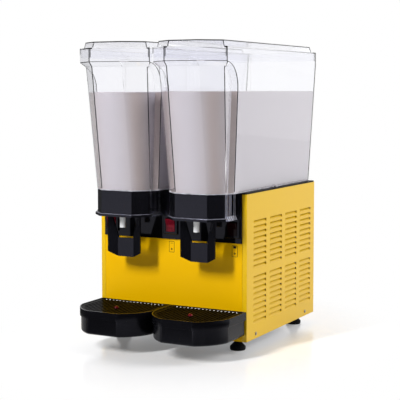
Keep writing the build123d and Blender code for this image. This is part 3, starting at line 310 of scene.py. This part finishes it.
def bar(bm, width, low, high):
    """A flat bar across the sign, between two heights from its middle."""
    stretch = Matrix.Diagonal((width, high - low, 1.0, 1.0))
    place = Matrix.Translation((0.0, (low + high) / 2, 0.0)) @ stretch
    bmesh.ops.create_grid(bm, x_segments=1, y_segments=1, size=0.5, matrix=place)


def star(bm, points, reach, waist):
    """A flat star in the lower half of the sign, one point upwards."""
    centre = Vector((0.0, -STAR_DOWN, 0.0))
    place = Matrix.Translation(centre) @ Matrix.Rotation(math.radians(90.0), 4, "Z")
    made = bmesh.ops.create_circle(bm, cap_ends=True, segments=points * 2, radius=reach, matrix=place)
    for vert in made["verts"]:
        out = vert.co - centre
        turn = math.atan2(out.y, out.x) - math.pi / 2
        if round(turn * points / math.pi) % 2:
            vert.co = centre + out * waist


for name, x, bar_sizes, star_sizes in (("left", -SIGN_X, OUTER_BAR, OUTER_STAR),
                                       ("middle", 0.0, MIDDLE_BAR, MIDDLE_STAR),
                                       ("right", SIGN_X, OUTER_BAR, OUTER_STAR)):
    bm = bmesh.new()
    bar(bm, SIGN_W, -SIGN_H / 2, SIGN_H / 2)
    bmesh.ops.bevel(bm, geom=bm.verts, offset=SIGN_CORNER, offset_type="OFFSET", segments=3, profile=0.5,
                    affect="VERTICES", material=-1)
    inner = list(bm.faces)
    bmesh.ops.inset_region(bm, faces=inner, thickness=SIGN_LINE, use_boundary=True, use_even_offset=True)
    bmesh.ops.delete(bm, geom=inner, context="FACES")
    bar(bm, **bar_sizes)
    star(bm, **star_sizes)
    upright = Matrix.Translation((x, PANEL_Y, SIGN_Z)) @ Matrix.Rotation(math.radians(90.0), 4, "X")
    bmesh.ops.transform(bm, verts=bm.verts, matrix=upright)
    raised = bmesh.ops.extrude_face_region(bm, geom=bm.faces)["geom"]
    front = [v for v in raised if isinstance(v, bmesh.types.BMVert)]
    bmesh.ops.translate(bm, verts=front, vec=(0.0, -INK_T, 0.0))
    bmesh.ops.recalc_face_normals(bm, faces=bm.faces)
    sign = made_piece("sign_" + name, bm, ink)
    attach(sign, "housing")

# Drip trays and cable gland. Satin black plastic, with a grain just large enough to soften reflections.
# The trays hook into the front panel by tongues, and the gland sits in a hole of the rear panel.
TRAY_ROLL = 0.0007
satin_black = skin_finish("satin_black", (0.0015, 0.0015, 0.0021), (0.003, 0.003, 0.004), rough=0.22,
                          rough_change=0.08, grain=1100.0, bump=0.08, specular=0.13, tint=COOL_SHEEN)
dress(satin_black, "cable_gland")
for side in ("left", "right"):
    rolled("drip_tray_" + side, "drip_tray_" + side, satin_black, lambda edge: TRAY_ROLL,
           segments=2)

# Drip grilles. Matt black slotted plates, dulled by washing, each loose on the step inside its tray. The
# steep ramps that end the slots at the back are painted pale, a painted highlight that shows as a row of
# light dashes.
BAR_BLACK = (0.0032, 0.0025, 0.0019)
# Colour of the painted highlight on the ramps.
RAMP_HIGHLIGHT = (0.93, 0.93, 0.93)
RAMP_FACING = -0.6
RAMP_Y = PANEL_Y - 0.02
BAR_ROLL = 0.0019
RING_ROLL = 0.0004
RING_REACH = 0.013
SAME_LEVEL = 1e-5


def painted_ramp_highlights(shade, colour, patches):
    """Paints a pale highlight on the faces that look forwards at the back of the grille."""
    forwards = shade.node("TexCoord", out="Normal").axis("Y") < RAMP_FACING
    at_back = shade.node("TexCoord", out="Object").axis("Y") > RAMP_Y
    return blend_colour(shade, forwards * at_back * (patches * 0.2 + 0.8), colour, RAMP_HIGHLIGHT)


def bar_roll(edge, top, middle):
    """The roll of a top edge, smaller on the ring round the float; edges below have none."""
    if min(vert.co.z for vert in edge.verts) < top - SAME_LEVEL:
        return None
    if max(abs(vert.co.x - middle) for vert in edge.verts) < RING_REACH:
        return RING_ROLL
    return BAR_ROLL


bar_black = skin_finish("bar_black", BAR_BLACK, BAR_BLACK, rough=0.27, rough_change=0.1, grain=1300.0,
                        bump=0.04, specular=0.003, over=painted_ramp_highlights)
for side in ("left", "right"):
    low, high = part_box("drip_grille_" + side)
    middle = (low[0] + high[0]) / 2
    rolled("drip_grille_" + side, "drip_grille_" + side, bar_black,
           lambda edge: bar_roll(edge, high[2], middle))

# Lever pins, evaporator domes and tap springs. Stainless steel with fine level lines: the pins are turned,
# the domes spun and the springs wound. A spring sits between the piston and the bowl's floor, and is
# drawn again with smooth shading.
steel, shade = new_finish("stainless")
lines = cloud(shade, 300.0, detail=2.0, stretch=(1.0, 1.0, 12.0))
surface = shade.node("BsdfPrincipled", None, {
    "Base Color": blend_colour(shade, lines, (0.50, 0.50, 0.51), (0.70, 0.70, 0.71)),
    "Roughness": lines * 0.2 + 0.16,
    "Metallic": 1.0,
    "Normal": raised_skin(shade, lines, 0.08, depth=0.0002)})
shade.node("OutputMaterial", None, {"Surface": surface})
dress(steel, "lever_pin_left", "lever_pin_right", "evaporator_left", "evaporator_right")
for side in ("left", "right"):
    coil = rolled("tap_spring_" + side, "bowl_" + side, steel, lambda edge: None)
    for face in coil.data.polygons:
        face.use_smooth = True
    low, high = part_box("tap_spring_" + side)
    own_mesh(coil)

# Spouts, tap barrels, pistons, impellers and the condenser's fan. White moulded plastic, food-grade in
# the taps and bowls, smooth, with a faint mottle.
white = skin_finish("white_plastic", (0.72, 0.72, 0.73), (0.82, 0.82, 0.82), rough=0.24, rough_change=0.1,
                    grain=500.0, bump=0.05, patch=40.0)
dress(white, "spout_left", "spout_right", "tap_barrel_left", "tap_barrel_right", "tap_piston_left",
      "tap_piston_right", "impeller_left", "impeller_right", "condenser_fan")

# Tap collars and levers. Satin black plastic with a cool sheen. A collar hangs under the nose of its
# bowl, with a lip below whose rounded top edge is painted pale, a painted highlight, and the lever swings
# on a pin in its ears.
TAP_SHEEN = (0.76, 0.76, 1.0)
COLLAR_ROLL = 0.0014
LEVER_ROLL = 0.0007
# Colour of the painted highlight on the lip's rounded edge.
LIP_HIGHLIGHT = (0.17, 0.17, 0.21)
LIP_STEEP = 0.25
LIP_LEVEL = 0.93


def painted_lip_highlight(shade, colour, patches):
    """Paints a pale highlight in patches where the lip rounds over from its front to its top."""
    upward = shade.node("TexCoord", out="Normal").axis("Z")
    rounding = (upward > LIP_STEEP) * (upward < LIP_LEVEL)
    return blend_colour(shade, rounding * (patches * 0.8 + 0.3), colour, LIP_HIGHLIGHT)


def tap_black(name, specular, over=None):
    return skin_finish(name, (0.0018, 0.0018, 0.0026), (0.0036, 0.0036, 0.005), rough=0.2,
                       rough_change=0.08, grain=1100.0, bump=0.08, specular=specular, tint=TAP_SHEEN,
                       over=over)


collar_black = tap_black("collar_black", specular=0.42, over=painted_lip_highlight)
lever_black = tap_black("lever_black", specular=0.33)
for side in ("left", "right"):
    rolled("tap_collar_" + side, "bowl_" + side, collar_black, lambda edge: COLLAR_ROLL)
    rolled("tap_lever_" + side, "tap_lever_" + side, lever_black, lambda edge: LEVER_ROLL)

# Bowls and lids. Injection-moulded clear plastic, cool in tint, with the faint flow marks of the mould;
# the bowl seals on its gasket and the lid lies in its rim. Painted highlights: a broken pale band at the
# edge of the bowl's floor, and a pale lip and pale lines along the ribs on the side faces of the thin tabs
# that hang beside the collar, weaker on the two tabs between the bowls as painted shade.
CLEAR_LOW = (0.949, 0.950, 0.974)
CLEAR_HIGH = (0.976, 0.977, 0.990)
CLEAR_IOR = 1.46
THIN_IOR = 1.15
PASSED_TINT = (0.975, 0.975, 0.985, 1.0)
GLINT_TINT = (0.9, 0.9, 1.0, 1.0)
# Colours of the painted highlights on the tabs and on the bowl's foot.
LIT_RIB = (0.44, 0.45, 0.53, 1.0)
LIT_FOOT = (0.78, 0.78, 0.86, 1.0)
FRONT_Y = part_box("side_panel_right")[0][1]
DECK_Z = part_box("top_deck")[1][2]
TAB_TOP_Z = DECK_Z - 0.0005
FOOT_TOP_Z = DECK_Z + 0.0022
TAB_LIP_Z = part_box("tap_collar_right")[0][2] + 0.009
OUTER_TAB_X = 0.12
RIBS_OUT = (0.0495, 0.031, 0.0105)
RIB_W = 0.0022
RIB_SHOWS = 0.5
LIP_SHOWS = 0.35
INNER_SHOWS = 0.2
SIDEWAYS = 0.5


def either(shade, share, first, second):
    """The first surface where the share is 0, the second where it is 1."""
    return shade.node("MixShader", None, {0: share, 1: first, 2: second})


def ray(shade, kind):
    return shade.node("LightPath", out=kind)


clear, shade = new_finish("clear_plastic")
flow = cloud(shade, 14.0, detail=2.0)
bowl_glass = shade.node("BsdfPrincipled", None, {
    "Base Color": blend_colour(shade, flow, CLEAR_LOW, CLEAR_HIGH),
    "Roughness": flow * 0.02 + 0.01,
    "IOR": CLEAR_IOR,
    "Transmission Weight": 1.0,
    "Normal": raised_skin(shade, flow, 0.01, depth=0.0003)})
place = shade.node("TexCoord", out="Object")
level = place.axis("Z")
below_deck = level < TAB_TOP_Z
# Painted highlight: a broken pale band round the bowl just above the deck.
foot = (level < FOOT_TOP_Z) * (1 - below_deck)
broken = cloud(shade, 70.0, detail=2.0) * 1.2 - 0.05
lit_foot = shade.node("BsdfDiffuse", None, {"Color": LIT_FOOT})
bowl_wall = either(shade, foot * broken, bowl_glass, lit_foot)
through = shade.node("BsdfTransparent", None, {"Color": PASSED_TINT})
glint = shade.node("BsdfGlossy", None, {"Color": GLINT_TINT, "Roughness": 0.08})
tab = either(shade, shade.node("Fresnel", None, {"IOR": THIN_IOR}), through, glint)
# Painted highlights on the thin tabs: a pale lip and pale rib lines on sideways faces, weaker on the inner
# tabs as painted shade.
ribs = (level < TAB_LIP_Z) * LIP_SHOWS
for rib in RIBS_OUT:
    ribs = ribs + (abs(place.axis("Y") - (FRONT_Y - rib)) < RIB_W / 2) * RIB_SHOWS
outer_tab = abs(place.axis("X")) > OUTER_TAB_X
sideways = abs(shade.node("TexCoord", out="Normal").axis("X")) > SIDEWAYS
ribs = ribs * (outer_tab * (1 - INNER_SHOWS) + INNER_SHOWS) * sideways
tab = either(shade, ribs, tab, shade.node("BsdfDiffuse", None, {"Color": LIT_RIB}))
surface = either(shade, below_deck, bowl_wall, tab)
for kind in ("Is Diffuse Ray", "Is Shadow Ray"):
    surface = either(shade, ray(shade, kind), surface, through)
shade.node("OutputMaterial", None, {"Surface": surface})
dress(clear, "bowl_left", "bowl_right", "lid_left", "lid_right")

# Drink in the bowls. Milk that fills the hollow to a level below the arch, a hair inside the wall and
# down into the clear floor, with a well over the evaporator so that the bowl lifts off it. Its edge
# creeps up the wall. Its colour is painted darker and warmer where the surface turns to the slanted
# corners of the nose: painted shade, tinted warm as light coming through thin milk would be.
bowl_low, bowl_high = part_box("bowl_right")
dome_low, dome_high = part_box("evaporator_right")
RIM_Z = bowl_high[2] - 0.028
REAR_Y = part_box("side_panel_right")[1][1]
MILK_FLAT = (0.475, 0.442, 0.47)
# Colour of the painted shade at the nose's slanted corners, tinted warm.
MILK_CORNER_SHADE = (0.405, 0.336, 0.318)
MILK_LEVEL = {"left": RIM_Z - 0.065, "right": RIM_Z - 0.063}
MILK_FLOOR = DECK_Z + 0.0010
MILK_ROUND = 0.012
CREEP_W = 0.0022
CREEP_H = 0.0011
INSET = 0.0034
BOWL_X = (bowl_low[0] + bowl_high[0]) / 2
BOWL_HALF = 0.089
BOWL_TAPER = 0.010
BACK_REACH = 0.012
BACK_TAPER = 0.018
NOSE_FACE = 0.0385
NOSE_RECESS = 0.010
NOSE_REACH = 0.082
NOSE_LEAN = 0.039
NOSE_BACK = 0.043
FLARE_BACK = 0.033
CORNER_SLIDE = math.tan(math.radians(22.5))
WELL_Y = (dome_low[1] + dome_high[1]) / 2
WELL_R = 0.0646
WELL_TOP = dome_high[2] + 0.004
WELL_SIDES = 48
STEEP = 0.5
CREASE_Y = FRONT_Y - 0.048
NOSE_CREASE = 1.0
BODY_CREASE = 0.2


def milk_outline(x, z):
    """Hollow of a bowl at a height, round from the front right corner."""
    share = (z - DECK_Z) / (RIM_Z - DECK_Z)
    turn = INSET * CORNER_SLIDE
    side = BOWL_HALF - BOWL_TAPER * (1 - share) - INSET
    nose_side = side - NOSE_RECESS
    face = NOSE_FACE - turn
    front = FRONT_Y - NOSE_REACH - NOSE_LEAN * share + INSET
    back = REAR_Y + BACK_REACH - BACK_TAPER * (1 - share) - INSET
    half = [(face, front), (nose_side, front + nose_side - face), (nose_side, FRONT_Y - NOSE_BACK + turn),
            (side, FRONT_Y - FLARE_BACK + turn), (side, back)]
    return [Vector((x + sx * px, py, z)) for sx, run in ((1, half), (-1, half[::-1])) for px, py in run]


def edges_within(geometry, verts):
    return [e for e in geometry if isinstance(e, bmesh.types.BMEdge) and all(v in verts for v in e.verts)]


milk, shade = new_finish("milk")
swirl = cloud(shade, 11.0, detail=2.0)
facing = shade.node("TexCoord", out="Normal")
# Painted shade: the mask rises where the normal turns halfway between front and side.
corner = (abs(facing.axis("X") * facing.axis("Y")) * 2.0) ** 3.0
surface = shade.node("BsdfPrincipled", None, {
    "Base Color": blend_colour(shade, corner * (swirl * 0.3 + 0.8), MILK_FLAT, MILK_CORNER_SHADE),
    "Roughness": swirl * 0.1 + 0.25})
shade.node("OutputMaterial", None, {"Surface": surface})
for name, x in (("left", -BOWL_X), ("right", BOWL_X)):
    bm = bmesh.new()
    floor_ring = [bm.verts.new(point) for point in milk_outline(x, MILK_FLOOR)]
    floor_edges = [bm.edges.new((a, b)) for a, b in zip(floor_ring, floor_ring[1:] + floor_ring[:1])]
    made = bmesh.ops.extrude_edge_only(bm, edges=floor_edges)["geom"]
    top_ring = [v for v in made if isinstance(v, bmesh.types.BMVert)]
    places = milk_outline(x, MILK_LEVEL[name])
    for vert in top_ring:
        ring_index = min(range(len(floor_ring)), key=lambda k: (floor_ring[k].co - vert.co).length)
        vert.co = places[ring_index]
    top_face = bmesh.ops.contextual_create(bm, geom=edges_within(made, top_ring))["faces"]
    bmesh.ops.inset_region(bm, faces=top_face, thickness=CREEP_W, depth=-CREEP_H)
    well = bmesh.ops.create_circle(bm, segments=WELL_SIDES, radius=WELL_R,
                                   matrix=Matrix.Translation((x, WELL_Y, MILK_FLOOR)))["verts"]
    well_edges = list(dict.fromkeys(e for v in well for e in v.link_edges))
    bmesh.ops.triangle_fill(bm, use_beauty=True, edges=floor_edges + well_edges)
    raised = bmesh.ops.extrude_edge_only(bm, edges=well_edges)["geom"]
    well_rim = [v for v in raised if isinstance(v, bmesh.types.BMVert)]
    bmesh.ops.translate(bm, verts=well_rim, vec=(0.0, 0.0, WELL_TOP - MILK_FLOOR))
    bmesh.ops.contextual_create(bm, geom=edges_within(raised, well_rim))
    for face in bm.faces:
        if abs(face.normal.z) < STEEP:
            face.smooth = True
    nose_edges = [e for k in (0, -1) for e in floor_ring[k].link_edges if e not in floor_edges
                  and any(v in top_ring for v in e.verts)]
    rounded = bmesh.ops.bevel(bm, geom=nose_edges, offset=MILK_ROUND, offset_type="OFFSET", segments=5,
                              profile=0.5, affect="EDGES", material=-1, clamp_overlap=True)
    for face in rounded["faces"]:
        face.smooth = True
    bmesh.ops.recalc_face_normals(bm, faces=bm.faces)
    for edge in bm.edges:
        on_body = min(v.co.y for v in edge.verts) > CREASE_Y
        edge.smooth = edge.calc_face_angle() < (BODY_CREASE if on_body else NOSE_CREASE)
    drink = made_piece("drink_" + name, bm, milk)
    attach(drink, "bowl_" + name)

# Studio floor. Pale, slightly glossy paper, lit a little from within, that turns to plain white away from
# the object. Mirrored in the object it is dim in front and to the left, as a dark room would be, but for
# a strip towards the key light; behind, and through the clear plastic, it is white.
FLOOR_REACH = 6.0
PAPER = (0.86, 0.86, 0.87, 1.0)
PAPER_GLOW = 0.15
WHITE = (1.0, 1.0, 1.0, 1.0)
WHITE_SQUEEZE = (1.3, 1.0, 1.0)
WHITE_SPAN = (0.36, 0.60)
ROOM_DIM = 0.06
REAR_SPAN = (-0.2, 0.5)
LEFT_SLANT = 1.2
LEFT_SPAN = (0.0, 0.5)
KEY_REACH_SPAN = (0.8, 1.1)
KEY_FRONT_SPAN = (0.0, 0.15)
KEY_LEFT_SPAN = (0.7, 1.0)


def ease(value, span):
    """Rises smoothly from 0 at the start of the span to 1 at its end."""
    return value.node("MapRange", {"interpolation_type": "SMOOTHSTEP"}, {0: value, 1: span[0], 2: span[1]})


def length(vector):
    return vector.node("VectorMath", {"operation": "LENGTH"}, {0: vector}, out="Value")


def light_of(shade, kind, strength):
    return shade.node(kind, None, {"Color": WHITE, "Strength": strength})


def been_through(shade, kind):
    """1 for a ray that has met that kind of surface on its way."""
    return shade.maths("MINIMUM", ray(shade, kind + " Depth"), 1.0)


paper, shade = new_finish("studio_paper")
sheet = shade.node("BsdfPrincipled", None, {
    "Base Color": PAPER,
    "Roughness": 0.18,
    "Specular IOR Level": 0.34})
glowing = shade.node("AddShader", None, {0: sheet, 1: light_of(shade, "Emission", PAPER_GLOW)})
near = either(shade, ray(shade, "Is Diffuse Ray"), glowing, sheet)
place = shade.node("TexCoord", out="Object")
across = place.axis("X")
depth = place.axis("Y")
slant = across / depth
squeezed = shade.node("Mapping", None, {"Vector": place, "Scale": WHITE_SQUEEZE})
white_share = ease(length(squeezed), WHITE_SPAN) * (1 - ray(shade, "Is Diffuse Ray"))
behind = ease(depth, REAR_SPAN) * ease(across + depth * LEFT_SLANT, LEFT_SPAN)
towards_key = ease(slant, KEY_FRONT_SPAN) * (1 - ease(slant, KEY_LEFT_SPAN))
key_strip = ease(length(place), KEY_REACH_SPAN) * towards_key
in_mirror = ray(shade, "Is Glossy Ray") * (1 - been_through(shade, "Transmission"))
dim_share = (1 - behind) * (1 - key_strip) * in_mirror
outer = either(shade, dim_share, light_of(shade, "Emission", 1.0), light_of(shade, "Emission", ROOM_DIM))
shade.node("OutputMaterial", None, {"Surface": either(shade, white_share, near, outer)})
bm = bmesh.new()
bmesh.ops.create_grid(bm, x_segments=1, y_segments=1, size=FLOOR_REACH)
floor = made_piece("studio_floor", bm, paper)

# Studio lights. A narrow soft key from the front left, a large weak fill from the right and behind, and
# a surround that is dark in front and bright behind; the camera and the clear plastic see it white.
AIM_Z = 0.33
ROOM_FRONT = 0.07
ROOM_SPAN = (-0.35, 0.6)
ROOM_LEFT_SPAN = (-0.1, 0.4)
ROOM_LIGHT = 0.6
ROOM_MIRRORED = 1.25


def softbox(name, azimuth, height, reach, width, tall, watts, spread):
    """Area light turned to the object; azimuth is measured from the front, to the right."""
    lamp = bpy.data.lights.new(name, "AREA")
    lamp.shape = "RECTANGLE"
    lamp.size = width
    lamp.size_y = tall
    lamp.energy = watts
    lamp.spread = math.radians(spread)
    box = bpy.data.objects.new(name, lamp)
    angle = math.radians(azimuth)
    box.location = (math.sin(angle) * reach, -math.cos(angle) * reach, height)
    aim = Vector((0.0, 0.0, AIM_Z)) - box.location
    box.rotation_euler = aim.to_track_quat("-Z", "Y").to_euler()
    bpy.context.scene.collection.objects.link(box)


softbox("key", azimuth=-18.0, height=2.2, reach=2.8, width=0.41, tall=1.18, watts=23.2, spread=80.0)
softbox("fill", azimuth=114.0, height=2.2, reach=3.2, width=1.9, tall=1.9, watts=40.0, spread=120.0)
world = bpy.data.worlds.new("studio_surround")
bpy.context.scene.world = world
world.use_nodes = True
world.node_tree.nodes.clear()
shade = Shade(world.node_tree)
way = shade.node("TexCoord", out="Generated")
room = shade.node("MapRange", {"clamp": True}, {
    "Value": way.axis("Y"),
    "From Min": ROOM_SPAN[0],
    "From Max": ROOM_SPAN[1],
    "To Min": ROOM_FRONT,
    "To Max": 1.0})
not_left = ease(way.axis("X") + way.axis("Y") * LEFT_SLANT, ROOM_LEFT_SPAN)
mirrored_room = (room - ROOM_FRONT) * not_left + ROOM_FRONT
lit = either(shade, ray(shade, "Is Glossy Ray"), light_of(shade, "Background", room * ROOM_LIGHT),
             light_of(shade, "Background", mirrored_room * ROOM_MIRRORED))
in_glass = been_through(shade, "Transmission") * (1 - been_through(shade, "Diffuse"))
seen = shade.maths("MAXIMUM", ray(shade, "Is Camera Ray"), in_glass)
shade.node("OutputWorld", None, {"Surface": either(shade, seen, lit, light_of(shade, "Background", 1.0))})

# Camera. A long lens at the front right, at the height of the bowls, tilted slightly down to the machine
# with a small shift of its frame.
CAMERA_RIGHT = 1.2051
CAMERA_OUT = 2.1572
CAMERA_Z = 0.571
CAMERA_TILT = math.radians(4.598)
CAMERA_TURN = math.radians(27.73)
BOUNCES = 32
lens = bpy.data.cameras.new("photo_camera")
lens.lens = 100.62
lens.sensor_width = 36.0
lens.shift_y = -0.05
camera = bpy.data.objects.new("photo_camera", lens)
camera.location = (CAMERA_RIGHT, FRONT_Y - CAMERA_OUT, CAMERA_Z)
camera.rotation_euler = (math.pi / 2 - CAMERA_TILT, 0.0, CAMERA_TURN)
bpy.context.scene.collection.objects.link(camera)
bpy.context.scene.camera = camera
bpy.context.scene.view_settings.view_transform = "Standard"
bpy.context.scene.cycles.max_bounces = BOUNCES
bpy.context.scene.cycles.transmission_bounces = BOUNCES
bpy.context.scene.cycles.transparent_max_bounces = BOUNCES
